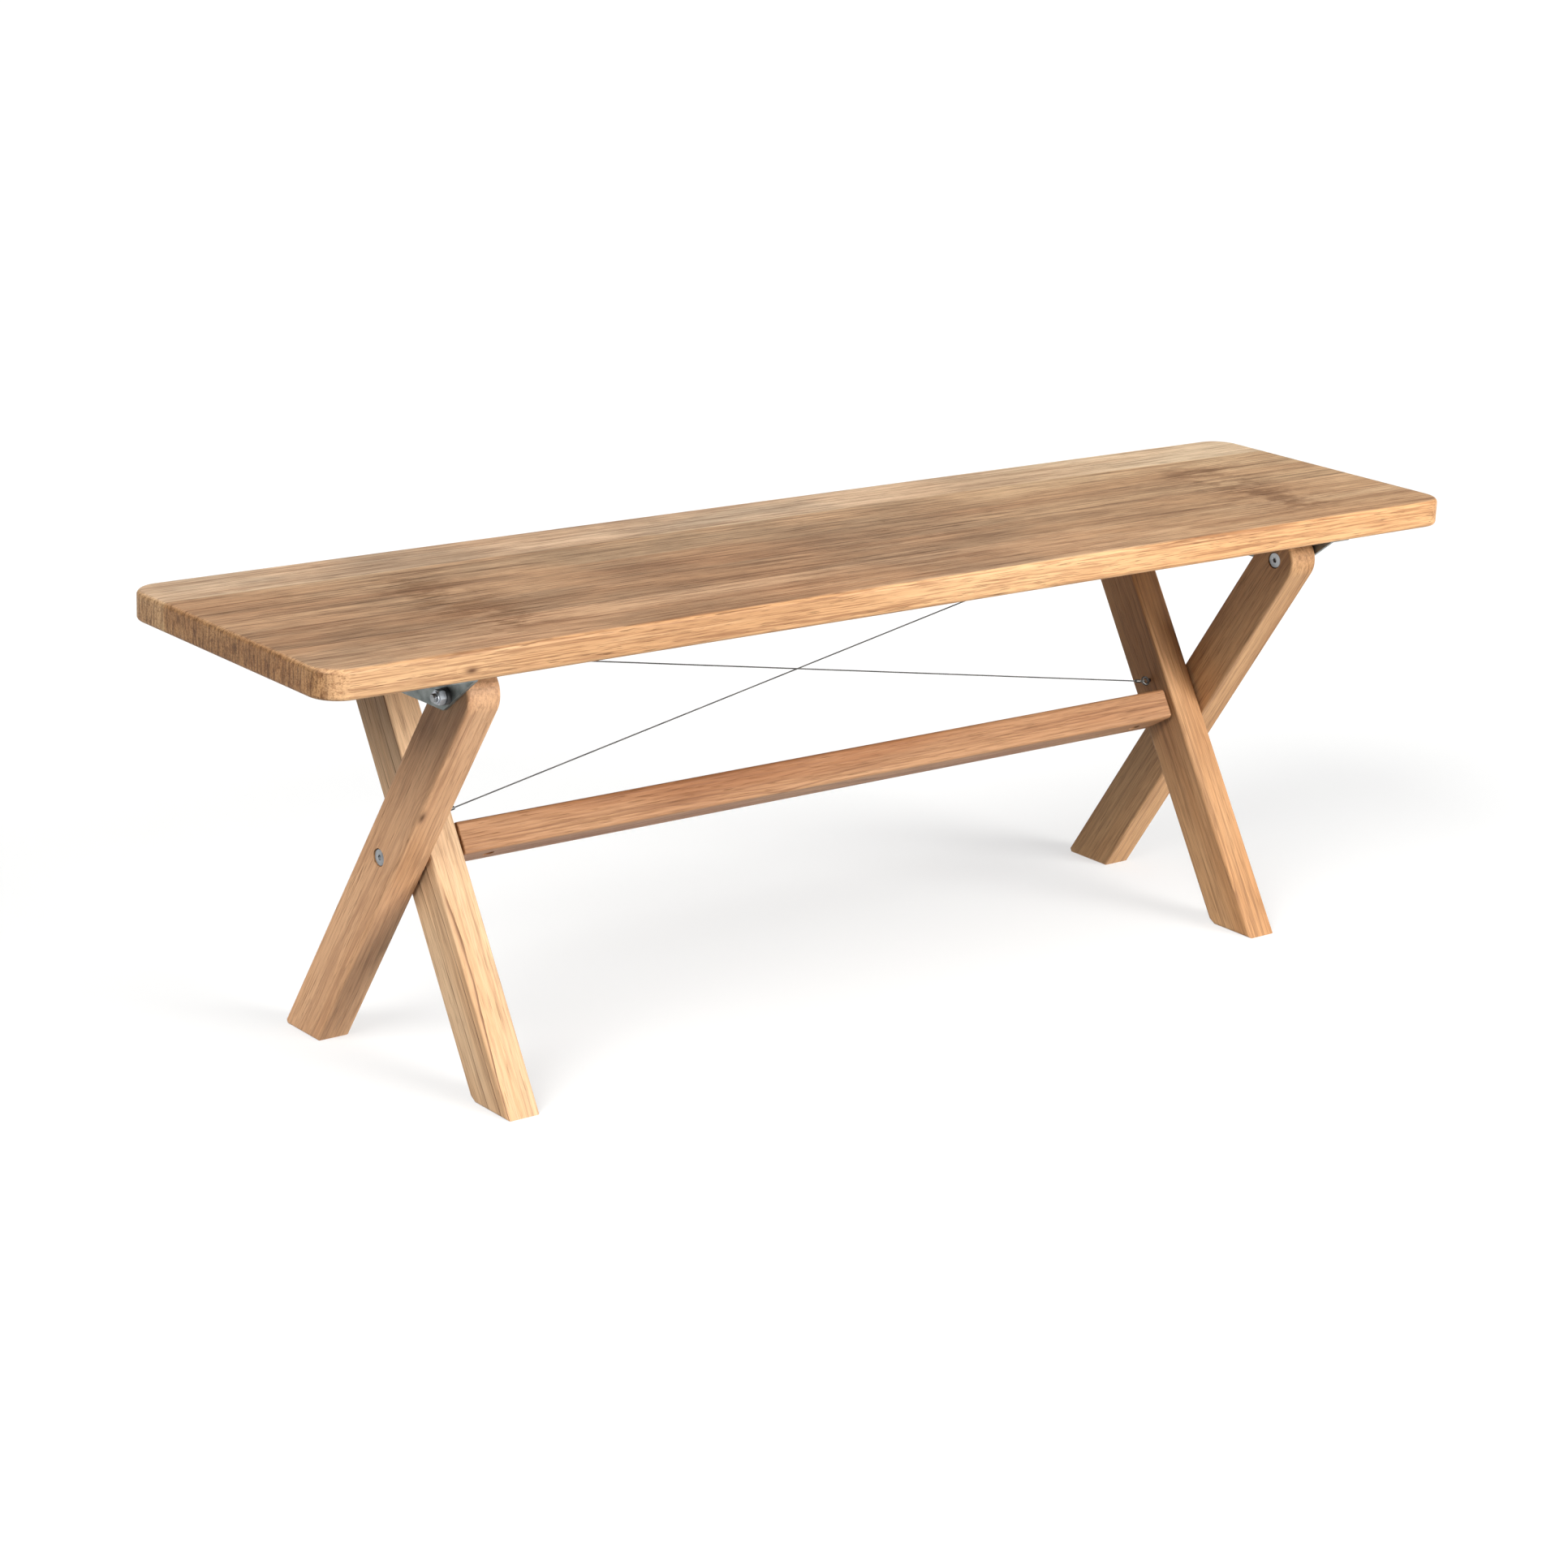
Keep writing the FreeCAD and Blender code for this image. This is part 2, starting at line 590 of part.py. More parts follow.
# ---- assembly ----
def both_sides(parts, name, shape):
    """Store a +X shape and its mirror at -X."""
    parts[name + "_right"] = shape
    parts[name + "_left"] = mirrored(shape)


def group(shapes):
    return Part.makeCompound(shapes)


def build():
    parts = {}
    pivot = leg_point(OUTER_TILT, 0.0, 0.0)
    hinge = leg_point(OUTER_TILT, HINGE_ALONG, 0.0)
    catch = leg_point(INNER_TILT, CATCH_ALONG, 0.0)

    hinge_x = HINGE_PLATE_X + SCREW_FROM_PLATE
    catch_x = CATCH_PLATE_X - SCREW_FROM_PLATE
    hinge_places = [(s * hinge_x, y) for s in (-1, 1) for y in HINGE_SCREW_Y]
    catch_places = [(s * catch_x, y) for s in (-1, 1) for y in CATCH_SCREW_Y]
    hinge_screws = [wood_screw(x, y, HINGE_PLATE) for x, y in hinge_places]
    catch_screws = [wood_screw(x, y, CATCH_PLATE) for x, y in catch_places]
    hinge_recess = group([screw_recess(x, y, HINGE_PLATE) for x, y in hinge_places])
    catch_recess = group([screw_recess(x, y, CATCH_PLATE) for x, y in catch_places])
    for number, stave in enumerate(staves(hinge_screws + catch_screws), 1):
        parts["top_stave_%d" % number] = stave
    both_sides(parts, "hinge_bracket", hinge_bracket(hinge).cut(group(hinge_screws)))
    both_sides(parts, "catch_bracket", catch_bracket(catch).cut(group(catch_screws)))
    parts["hinge_screws"] = group([s.cut(hinge_recess) for s in hinge_screws])
    parts["catch_screws"] = group([s.cut(catch_recess) for s in catch_screws])

    stack = bolt_stack(OUTER_INNER_X + HEAD_SINK, 1, HINGE_PLATE_X, HINGE_PLATE, HINGE_WASHER_THICK, hinge)
    spacer_near = OUTER_FACE_X + WASHER_PLAY
    both_sides(parts, "hinge_bolt", stack["bolt"])
    both_sides(parts, "hinge_spacer", washer(spacer_near, HINGE_PLATE_X, hinge, WASHER_R))
    both_sides(parts, "hinge_washer", washer(stack["plate_far"], stack["washer_far"], hinge, WASHER_R))
    both_sides(parts, "hinge_nut", stack["nut"])

    both_sides(parts, "outer_leg", outer_leg())
    eye_cuts = [
        eye_hole(1, LOWER_EYE_ALONG, -BRACE_OFFSET),
        eye_hole(1, UPPER_EYE_ALONG, BRACE_OFFSET),
    ]
    parts["inner_leg_right"] = inner_leg(eye_cuts)
    eye_cuts = [
        eye_hole(1, LOWER_EYE_ALONG, BRACE_OFFSET),
        eye_hole(1, UPPER_EYE_ALONG, -BRACE_OFFSET),
    ]
    parts["inner_leg_left"] = mirrored(inner_leg(eye_cuts))

    parts["stretcher"] = stretcher()
    pivot_head = OUTER_FACE_X - HEAD_SINK
    both_sides(parts, "pivot_bolt", socket_bolt(pivot_head, PIVOT_BOLT_END_X, pivot, 0.0))
    both_sides(parts, "pivot_washer", washer(INNER_OUTER_X, OUTER_INNER_X - END_PLAY, pivot, PIVOT_WASHER_R))
    both_sides(parts, "stretcher_sleeve", washer(STRETCHER_END_X, INNER_INNER_X, pivot, SLEEVE_R))
    both_sides(parts, "barrel_nut", barrel_nut())
    dowel = stretcher_dowel()
    parts["stretcher_dowels"] = group([dowel, mirrored(dowel)])

    stack = bolt_stack(INNER_OUTER_X - HEAD_SINK, -1, CATCH_PLATE_X, CATCH_PLATE, WASHER_THICK, catch)
    both_sides(parts, "catch_bolt", stack["bolt"])
    both_sides(parts, "catch_spacer", washer(CATCH_PLATE_X + WASHER_PLAY, INNER_INNER_X, catch, WASHER_R))
    washer_near = stack["plate_far"] - WASHER_PLAY
    both_sides(parts, "catch_washer", washer(stack["washer_far"], washer_near, catch, WASHER_R))
    both_sides(parts, "catch_nut", stack["nut"])

    for name, low_side, across in (("a", -1, BRACE_OFFSET), ("b", 1, -BRACE_OFFSET)):
        wire, low_end, high_end = brace_wire(low_side, across)
        parts["brace_wire_" + name] = wire
        parts["ferrule_lower_" + name] = ferrule(low_end[0], low_end[1], wire)
        parts["ferrule_upper_" + name] = ferrule(high_end[0], high_end[1], wire)
        parts["eye_lower_" + name] = eye_screw(low_side, LOWER_EYE_ALONG, across)
        parts["eye_upper_" + name] = eye_screw(-low_side, UPPER_EYE_ALONG, across)
    return parts


def main():
    os.makedirs("parts", exist_ok=True)
    for name, shape in build().items():
        if not shape.isValid():
            print("invalid shape:", name)
        shape.exportStep("parts/%s.step" % name)
        print("%-22s solids %d volume %.0f" % (name, len(shape.Solids), shape.Volume))


main()
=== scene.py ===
import math

import bpy
from mathutils import Matrix, Vector


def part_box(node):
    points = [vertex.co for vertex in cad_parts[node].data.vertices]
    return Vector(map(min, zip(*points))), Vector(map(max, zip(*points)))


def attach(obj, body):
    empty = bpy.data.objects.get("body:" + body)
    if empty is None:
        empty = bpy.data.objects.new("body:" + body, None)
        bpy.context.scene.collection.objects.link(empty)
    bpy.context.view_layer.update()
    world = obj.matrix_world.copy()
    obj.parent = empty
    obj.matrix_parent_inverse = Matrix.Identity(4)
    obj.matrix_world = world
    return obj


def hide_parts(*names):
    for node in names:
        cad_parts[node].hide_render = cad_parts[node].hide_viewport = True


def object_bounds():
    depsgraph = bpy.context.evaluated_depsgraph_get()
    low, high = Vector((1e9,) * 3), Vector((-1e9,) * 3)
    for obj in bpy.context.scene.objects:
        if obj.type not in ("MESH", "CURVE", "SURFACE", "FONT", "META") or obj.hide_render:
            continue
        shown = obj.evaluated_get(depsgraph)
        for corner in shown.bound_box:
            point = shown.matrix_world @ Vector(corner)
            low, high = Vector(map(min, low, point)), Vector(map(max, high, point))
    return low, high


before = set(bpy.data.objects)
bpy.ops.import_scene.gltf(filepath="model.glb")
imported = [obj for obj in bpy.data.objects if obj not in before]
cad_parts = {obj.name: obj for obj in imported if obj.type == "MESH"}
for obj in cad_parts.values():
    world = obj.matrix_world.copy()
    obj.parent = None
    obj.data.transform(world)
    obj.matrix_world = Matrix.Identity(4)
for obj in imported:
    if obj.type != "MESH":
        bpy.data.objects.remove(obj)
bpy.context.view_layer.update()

# ---- camera ----
CAMERA_AT = Vector((-2.3273, -2.8252, 1.3148))
CAMERA_YAW = 0.6771             # radians from +Y towards +X
CAMERA_PITCH = 0.2953           # radians down
CAMERA_ROLL = 0.0395
CAMERA_LENS = 86.7              # mm
CAMERA_SENSOR = 36.0            # mm across
CAMERA_REACH = 300.0            # farther than the backdrop's far side

# ---- light ----
SKY_ABOVE = 0.42                # radiance of the studio overhead, at the horizon and underfoot
SKY_LEVEL = 0.07
SKY_BELOW = 0.50
DOME = (                        # height, from 0 straight down to 1 straight up, and the radiance there
    (0.0, SKY_BELOW),
    (0.22, SKY_BELOW),
    (0.38, SKY_LEVEL),
    (0.55, SKY_LEVEL),
    (0.75, SKY_ABOVE),
)
DOME_ON_FLOOR = 0.85            # share of the overhead radiance that the open floor receives
LAMPS = (                       # name, direction from the table, strength
    ("key", (0.33, -0.89, 0.31), 1.30),
    ("fill", (-0.74, -0.28, 0.61), 0.92),
)
LAMP_ANGLE = 34.0               # degrees across, as seen from the table
FLOOR_SIZE = 120.0
FLOOR_ALBEDO = 0.38
FLOOR_COLOUR = (FLOOR_ALBEDO, FLOOR_ALBEDO, FLOOR_ALBEDO * 0.97, 1.0)
FLOOR_ROUGHNESS = 0.9
FLOOR_GLOW = (0.99, 0.99, 1.0, 1.0)
FLOOR_LEVEL = 1.09              # brightness of the open floor; only the shadows drop below white
BACKDROP_RADIUS = FLOOR_SIZE * 0.48
BACKDROP_SIDES = 48
BACKDROP_RINGS = 24

# ---- the legs' tilts, degrees from upright ----
OUTER_TILT = -32.6
INNER_TILT = 31.5

# ---- wire brace ----
WIRE_R = 0.00075
STRAND_COUNT = 6
STRAND_SIDES = 6
STRAND_LAY = 0.010
SAMPLES_PER_LAY = 8
LOOP_R = 0.0022
LOOP_LENGTH = 0.007
LOOP_STEPS = 20
EYE_WIRE_R = 0.0013


def srgb(red, green, blue):
    """Linear colour from 8-bit display values."""
    out = []
    for value in (red, green, blue):
        c = value / 255
        out.append(c / 12.92 if c <= 0.04045 else ((c + 0.055) / 1.055) ** 2.4)
    return (out[0], out[1], out[2], 1.0)


# ---- colours of the woods: light, middle tone, dark lines ----
TOP_COLOURS = (
    (srgb(212, 172, 130), srgb(194, 150, 108), srgb(124, 80, 50)),
    (srgb(208, 168, 126), srgb(184, 142, 102), srgb(112, 74, 48)),
    (srgb(202, 162, 120), srgb(176, 134, 96), srgb(104, 70, 46)),
    (srgb(208, 170, 128), srgb(186, 144, 104), srgb(112, 76, 48)),
    (srgb(226, 194, 156), srgb(210, 174, 136), srgb(138, 102, 72)),
)
LEG_COLOURS = (srgb(214, 168, 127), srgb(199, 150, 108), srgb(132, 85, 54))
PALE_LEG_COLOURS = (srgb(216, 182, 144), srgb(204, 162, 120), srgb(114, 78, 52))
GOLDEN_LEG_COLOURS = (srgb(212, 168, 122), srgb(196, 148, 102), srgb(118, 76, 46))
BROWN_LEG_COLOURS = (srgb(204, 158, 112), srgb(186, 136, 90), srgb(94, 58, 34))
STRETCHER_COLOURS = (srgb(188, 142, 102), srgb(162, 110, 72), srgb(104, 62, 36))
BEECH_COLOURS = (srgb(222, 190, 148), srgb(208, 172, 128), srgb(168, 126, 88))
SAPWOOD = srgb(238, 214, 174)
PORE_COLOUR = srgb(78, 48, 28)
KNOT_COLOUR = srgb(86, 52, 30)
WORN_LIGHT = (0.94, 0.94, 1.0, 1.0)
WORN_DARK = (0.68, 0.71, 0.78, 1.0)
# the top's face grows paler towards its right end
RIGHT_END_PALE = (1.14, 1.25, 1.34, 1.0)
# painted light on the top's sides, a little dim at the left end and bright at the right end
PAINTED_SIDE_LIGHT_LEFT = (0.92, 0.88, 0.82, 1.0)
PAINTED_SIDE_LIGHT_RIGHT = (1.26, 1.22, 1.12, 1.0)
BAR_SHADE = (0.50, 0.45, 0.42, 1.0)
END_LIGHT = (0.82, 0.76, 0.66, 1.0)
END_DARK = (0.36, 0.30, 0.24, 1.0)
LEFT_BAR = 0.67                 # darker bars across the top, as a share of its half length
RIGHT_BAR = 0.77
BAR_HALF = 0.09                 # metres from a bar's middle to where it has faded
BAR_STRENGTH = 0.85

# ---- the logs the wood is cut from, in metres ----
STAVE_RING_GAP = 0.0052
LEG_RING_GAP = 0.0046
STRETCHER_RING_GAP = 0.0044
BEECH_RING_GAP = 0.0030
RING_WANDER = 0.050             # how far rings stray over a hand's width, and over a finger's width
RING_WAVER = 0.0060
KNOT_STRETCH = 0.42             # a knot's swelling is this much flatter along the grain
KNOT_SWELL = 2.6                # rings pushed aside by a knot; this and the reaches are in knot sizes
KNOT_SWELL_REACH = 2.0
KNOT_HEART_REACH = 0.5
STAVE_KNOT = (0.149, 0.018, 0.0055)             # from the left end, below the upper face, size
LEG_KNOT = (0.083, -0.026, -0.004, 0.006)       # from the pivot up and across, past the face, size
SAPWOOD_STAVE = 4
SAPWOOD_WIDTH = 0.006
SAPWOOD_STRENGTH = 0.55
PITH_ASIDE = 0.16               # a stave's pith, from the stave's middle and below it
PITH_BELOW = 0.03
PITH_STEP = 0.012               # each further stave's pith is this much lower

# ---- heights of the surfaces' relief, in metres ----
WOOD_RELIEF = 0.00030
STEEL_RELIEF = 0.00006
DARK_WASHER_RELIEF = 0.00004

# ---- strengths of the wood's marks ----
TOP_LOOK = {"ring": 0.24, "line": 0.70, "streak": 0.64, "fibre": 0.50, "figure": 0.30, "end": 0.9}
LEG_LOOK = {"ring": 0.22, "line": 0.40, "streak": 0.38, "fibre": 0.30, "figure": 0.14, "end": 0.6}
PALE_LOOK = {"ring": 0.20, "line": 1.00, "streak": 0.40, "fibre": 0.24, "figure": 0.22, "end": 0.6}

# ---- legs: node, tilt, seed, colours, look, pith from the middle along side and beyond ----
LEGS = (
    ("outer_leg_left", OUTER_TILT, 71.0, LEG_COLOURS, LEG_LOOK, 0.03, 0.11),
    ("outer_leg_right", OUTER_TILT, 83.0, GOLDEN_LEG_COLOURS, LEG_LOOK, 0.05, -0.10),
    ("inner_leg_left", INNER_TILT, 97.0, PALE_LEG_COLOURS, PALE_LOOK, 0.07, 0.06),
    ("inner_leg_right", INNER_TILT, 109.0, BROWN_LEG_COLOURS, PALE_LOOK, 0.06, -0.07),
)

# ---- steels: seed, colour, stain, roughness, scale of the polish, depth of the scratches ----
STEELS = {
    "bracket_steel": (3.0, srgb(140, 145, 143), srgb(100, 107, 106), 0.42, (40.0, 40.0, 2200.0), 1.0),
    "bolt_steel": (5.0, srgb(166, 168, 170), srgb(118, 121, 124), 0.30, (900.0, 900.0, 900.0), 0.8),
    "nut_steel": (7.0, srgb(186, 190, 196), srgb(134, 138, 142), 0.36, (1400.0, 300.0, 300.0), 1.0),
    "wire_steel": (9.0, srgb(120, 119, 116), srgb(88, 87, 84), 0.42, (1500.0, 1500.0, 1500.0), 0.6),
    "barrel_nut_steel": (
        11.0, srgb(206, 198, 172), srgb(160, 150, 120), 0.38, (300.0, 300.0, 1500.0), 0.8,
    ),
    "screw_steel": (13.0, srgb(178, 182, 186), srgb(120, 122, 124), 0.36, (1200.0, 1200.0, 300.0), 1.0),
}
DARK_WASHER_SEED = 15.0
DARK_WASHER_COLOUR = (0.025, 0.025, 0.027, 1.0)
DARK_WASHER_WORN = (0.06, 0.06, 0.06, 1.0)
FITTINGS = {                    # the starts of the names of the nodes that have each finish
    "bracket_steel": ("hinge_bracket", "catch_bracket"),
    "bolt_steel": ("hinge_bolt", "pivot_bolt", "catch_bolt"),
    "nut_steel": (
        "hinge_nut", "catch_nut", "catch_washer", "pivot_washer",
        "hinge_spacer", "catch_spacer", "stretcher_sleeve",
    ),
    "wire_steel": ("brace_wire", "ferrule", "eye"),
    "barrel_nut_steel": ("barrel_nut",),
    "screw_steel": ("hinge_screws", "catch_screws"),
    "black_nylon": ("hinge_washer",),
}


class Graph:
    """Adds shader nodes to one material, with short calls for the common ones."""

    def __init__(self, name):
        self.material = bpy.data.materials.new(name)
        self.material.use_nodes = True
        self.tree = self.material.node_tree
        self.tree.nodes.clear()
        self.coords = self.node("ShaderNodeTexCoord")

    def node(self, kind, inputs=None, **settings):
        node = self.tree.nodes.new(kind)
        for name, value in settings.items():
            setattr(node, name, value)
        for key, value in (inputs or {}).items():
            if isinstance(value, bpy.types.NodeSocket):
                self.tree.links.new(value, node.inputs[key])
            else:
                node.inputs[key].default_value = value
        return node

    def math(self, operation, *values, clamp=False):
        inputs = dict(enumerate(values))
        return self.node("ShaderNodeMath", inputs, operation=operation, use_clamp=clamp).outputs[0]

    def vector(self, operation, *values):
        node = self.node("ShaderNodeVectorMath", dict(enumerate(values)), operation=operation)
        return node.outputs["Value" if operation in ("DOT_PRODUCT", "LENGTH") else "Vector"]

    def combine(self, x, y, z):
        return self.node("ShaderNodeCombineXYZ", {0: x, 1: y, 2: z}).outputs[0]

    def stretched(self, vector, scale, seed):
        return self.vector("MULTIPLY_ADD", vector, scale, (seed, seed * 1.7, seed * 0.6))

    def noise(self, vector, detail=2.0, roughness=0.5):
        inputs = {"Vector": vector, "Scale": 1.0, "Detail": detail, "Roughness": roughness}
        return self.node("ShaderNodeTexNoise", inputs).outputs["Fac"]

    def ramp(self, value, low, high, to_low=0.0, to_high=1.0):
        """Value eased from low..high to to_low..to_high, held at both ends."""
        inputs = {"Value": value, 1: low, 2: high, 3: to_low, 4: to_high}
        return self.node("ShaderNodeMapRange", inputs, interpolation_type="SMOOTHSTEP").outputs[0]

    def mix(self, factor, first, second, blend="MIX"):
        node = self.node("ShaderNodeMix", data_type="RGBA", blend_type=blend)
        for socket, value in ((node.inputs[0], factor), (node.inputs[6], first), (node.inputs[7], second)):
            if isinstance(value, bpy.types.NodeSocket):
                self.tree.links.new(value, socket)
            else:
                socket.default_value = value
        return node.outputs[2]

    def finish(self, colour, roughness, height, bump_distance, **constants):
        """Principled surface with bump; constants go straight on the shader's sockets."""
        bump = self.node("ShaderNodeBump", {"Strength": 1.0, "Distance": bump_distance, "Height": height})
        inputs = {"Base Color": colour, "Roughness": roughness, "Normal": bump.outputs[0]}
        shader = self.node("ShaderNodeBsdfPrincipled", inputs)
        for name, value in constants.items():
            shader.inputs[name.replace("_", " ")].default_value = value
        self.node("ShaderNodeOutputMaterial", {"Surface": shader.outputs[0]})
        return self.material


# ---- wood ----
def rings_about(g, q, u, v, w, seed, pith, gap, knots):
    """Growth rings about a pith line.

    Gives the phase within a ring, each ring's darkness, how far the rings wander and the
    knots' hearts.
    """
    wander = g.math("SUBTRACT", g.noise(g.stretched(q, (1.5, 8.0, 8.0), seed), 2.0), 0.5)
    waver = g.math("SUBTRACT", g.noise(g.stretched(q, (7.0, 60.0, 60.0), seed + 3.1), 3.0, 0.55), 0.5)
    from_v = g.math("SUBTRACT", v, pith[0])
    from_w = g.math("SUBTRACT", w, pith[1])
    radius = g.vector("LENGTH", g.combine(from_v, from_w, 0.0))
    radius = g.math("MULTIPLY_ADD", wander, RING_WANDER, radius)
    radius = g.math("MULTIPLY_ADD", waver, RING_WAVER, radius)
    hearts = 0.0
    for knot_u, knot_v, knot_w, size in knots:
        away_u = g.math("MULTIPLY", g.math("SUBTRACT", u, knot_u), KNOT_STRETCH)
        away_v = g.math("SUBTRACT", v, knot_v)
        away_w = g.math("SUBTRACT", w, knot_w)
        away = g.vector("LENGTH", g.combine(away_u, away_v, away_w))
        away = g.math("POWER", away, 2.0)
        swell = g.math("EXPONENT", g.math("MULTIPLY", away, -1.0 / (size * KNOT_SWELL_REACH) ** 2))
        radius = g.math("MULTIPLY_ADD", swell, size * KNOT_SWELL, radius)
        heart = g.math("EXPONENT", g.math("MULTIPLY", away, -1.0 / (size * KNOT_HEART_REACH) ** 2))
        hearts = g.math("ADD", hearts, heart)
    rings = g.math("DIVIDE", radius, gap)
    phase = g.math("FRACT", rings)
    number = g.math("ADD", g.math("FLOOR", rings), seed)
    tone = g.node("ShaderNodeTexWhiteNoise", {"W": number}, noise_dimensions="1D").outputs["Value"]
    return phase, tone, wander, hearts


def sapwood_band(g, colour, v, wander, break_up, sapwood):
    """Pale band of sapwood along a seam, with a broken edge."""
    across, width, pale = sapwood
    offset = g.math("SUBTRACT", g.math("MULTIPLY_ADD", wander, 0.018, v), across)
    offset = g.math("ABSOLUTE", offset)
    broken = g.ramp(break_up, 0.35, 0.6, 0.35, 1.0)
    band = g.math("MULTIPLY", g.ramp(offset, width, width * 0.3), broken)
    return g.mix(g.math("MULTIPLY", band, SAPWOOD_STRENGTH), colour, pale)


def worn_top_and_painted_side_light(g, normal, q, u, v, seed, places):
    """Shade of the top: worn patches, two dark mottled bars, a paler right half, and painted light on the
    sides.
    """
    upward = g.node("ShaderNodeSeparateXYZ", {0: normal}).outputs[2]
    patch = g.noise(g.stretched(q, (5.0, 12.0, 12.0), seed + 37.0), 4.0, 0.6)
    shade = g.mix(g.ramp(patch, 0.36, 0.66), WORN_LIGHT, WORN_DARK)
    bars = 0.0
    for place in places:
        near = g.ramp(g.math("ABSOLUTE", g.math("SUBTRACT", u, place)), BAR_HALF, 0.0)
        bars = g.math("ADD", bars, near)
    mottle = g.noise(g.stretched(q, (26.0, 55.0, 55.0), seed + 39.0), 4.0, 0.62)
    bars = g.math("MULTIPLY", bars, g.ramp(mottle, 0.38, 0.60))
    inside = g.math("MULTIPLY", g.ramp(v, 0.11, 0.05), g.ramp(v, -0.165, -0.11))
    bars = g.math("MULTIPLY", bars, inside)
    shade = g.mix(g.ramp(u, 0.0, places[1]), shade, g.mix(0.5, shade, RIGHT_END_PALE))
    shade = g.mix(g.math("MULTIPLY", bars, BAR_STRENGTH), shade, BAR_SHADE)
    # painted light: the top's sides are painted brighter than its face, rising from left to right
    side_painted_light = g.mix(g.ramp(u, *places), PAINTED_SIDE_LIGHT_LEFT, PAINTED_SIDE_LIGHT_RIGHT)
    return g.mix(g.ramp(upward, 0.80, 0.98), side_painted_light, shade)


def wood(name, seed, grain, side, pith, ring_gap, colours, look, knots=(), sapwood=None, top_shade=None):
    """Teak cut from a round log: rings about a pith line, fibre streaks, pores and end grain.

    grain and side are unit vectors; pith is the pith line's place along side and along the
    third direction.  colours are the light wood, the middle tone and the dark lines.  look
    holds the strengths of the ring, line, streak, fibre and figure marks and of the end grain.
    knots are places along the three directions, each with a size.  sapwood is a pale band's
    place along side, its width and its colour.  top_shade is where the two dark bars cross
    a worn upper face; it also brings painted light on the sides, brighter towards the right.
    """
    g = Graph(name)
    point = g.coords.outputs["Object"]
    normal = g.coords.outputs["Normal"]
    u = g.vector("DOT_PRODUCT", point, grain)
    v = g.vector("DOT_PRODUCT", point, side)
    w = g.vector("DOT_PRODUCT", point, grain.cross(side))
    q = g.combine(u, v, w)
    phase, tone, wander, hearts = rings_about(g, q, u, v, w, seed, pith, ring_gap, knots)
    late = g.math("MULTIPLY", g.ramp(phase, 0.20, 0.88), g.ramp(phase, 1.0, 0.94))
    soft_ring = g.math("MULTIPLY", late, g.ramp(tone, 0.0, 1.0, 0.2, 1.0))
    thin = g.math("MULTIPLY", g.ramp(phase, 0.70, 0.90), g.ramp(phase, 1.0, 0.95))
    dark_line = g.math("MULTIPLY", thin, g.ramp(tone, 0.72, 0.90))

    streak = g.noise(g.stretched(q, (4.0, 130.0, 130.0), seed + 11.0), 5.0, 0.68)
    fine = g.noise(g.stretched(q, (13.0, 560.0, 560.0), seed + 17.0), 3.0, 0.6)
    pores = g.noise(g.stretched(q, (38.0, 1400.0, 1400.0), seed + 23.0), 2.0, 0.5)
    dashes = g.noise(g.stretched(q, (24.0, 300.0, 300.0), seed + 25.0), 2.0, 0.5)
    blotch = g.noise(g.stretched(q, (2.2, 14.0, 14.0), seed + 29.0), 3.0, 0.55)
    break_up = g.noise(g.stretched(q, (9.0, 40.0, 40.0), seed + 31.0), 2.0)
    contour = g.noise(g.stretched(q, (2.6, 105.0, 105.0), seed + 33.0), 3.0, 0.55)
    contour = g.math("ABSOLUTE", g.math("SUBTRACT", contour, 0.5))
    figure = g.math("MULTIPLY", g.ramp(contour, 0.020, 0.004), g.ramp(break_up, 0.62, 0.46))
    pore_mask = g.math("MULTIPLY", g.ramp(pores, 0.58, 0.70), g.ramp(phase, 0.9, 0.1, 0.35, 1.0))

    light, middle, dark = colours
    colour = g.mix(g.ramp(blotch, 0.36, 0.64), light, middle)
    colour = g.mix(g.math("MULTIPLY", soft_ring, look["ring"]), colour, dark)
    line = g.math("MULTIPLY", dark_line, g.ramp(break_up, 0.34, 0.52))
    colour = g.mix(g.math("MULTIPLY", line, look["line"]), colour, dark)
    colour = g.mix(g.math("MULTIPLY", g.ramp(streak, 0.50, 0.68), look["streak"]), colour, dark)
    colour = g.mix(g.math("MULTIPLY", g.ramp(streak, 0.47, 0.32), look["streak"]), colour, light)
    colour = g.mix(g.math("MULTIPLY", figure, look["figure"]), colour, dark)
    colour = g.mix(g.ramp(fine, 0.48, 0.62, 0.0, look["fibre"]), colour, dark)
    colour = g.mix(g.ramp(dashes, 0.60, 0.70, 0.0, look["fibre"] * 0.6), colour, PORE_COLOUR)
    colour = g.mix(g.math("MULTIPLY", pore_mask, look["fibre"] * 1.2), colour, PORE_COLOUR)
    if knots:
        colour = g.mix(g.math("MULTIPLY", hearts, 0.95, clamp=True), colour, KNOT_COLOUR)
    if sapwood:
        colour = sapwood_band(g, colour, v, wander, break_up, sapwood)
    if top_shade:
        # worn patches on the top's face, and painted light on its sides
        shade = worn_top_and_painted_side_light(g, normal, q, u, v, seed, top_shade)
        colour = g.mix(1.0, colour, shade, "MULTIPLY")
    along = g.math("ABSOLUTE", g.vector("DOT_PRODUCT", normal, grain))
    speck = g.noise(g.stretched(q, (3.0, 330.0, 34.0), seed + 41.0), 5.0, 0.68)
    end_tone = g.mix(g.ramp(speck, 0.42, 0.62), END_LIGHT, END_DARK)
    end_mask = g.math("MULTIPLY", g.ramp(along, 0.55, 0.92), look["end"])
    colour = g.mix(end_mask, colour, g.mix(1.0, colour, end_tone, "MULTIPLY"))

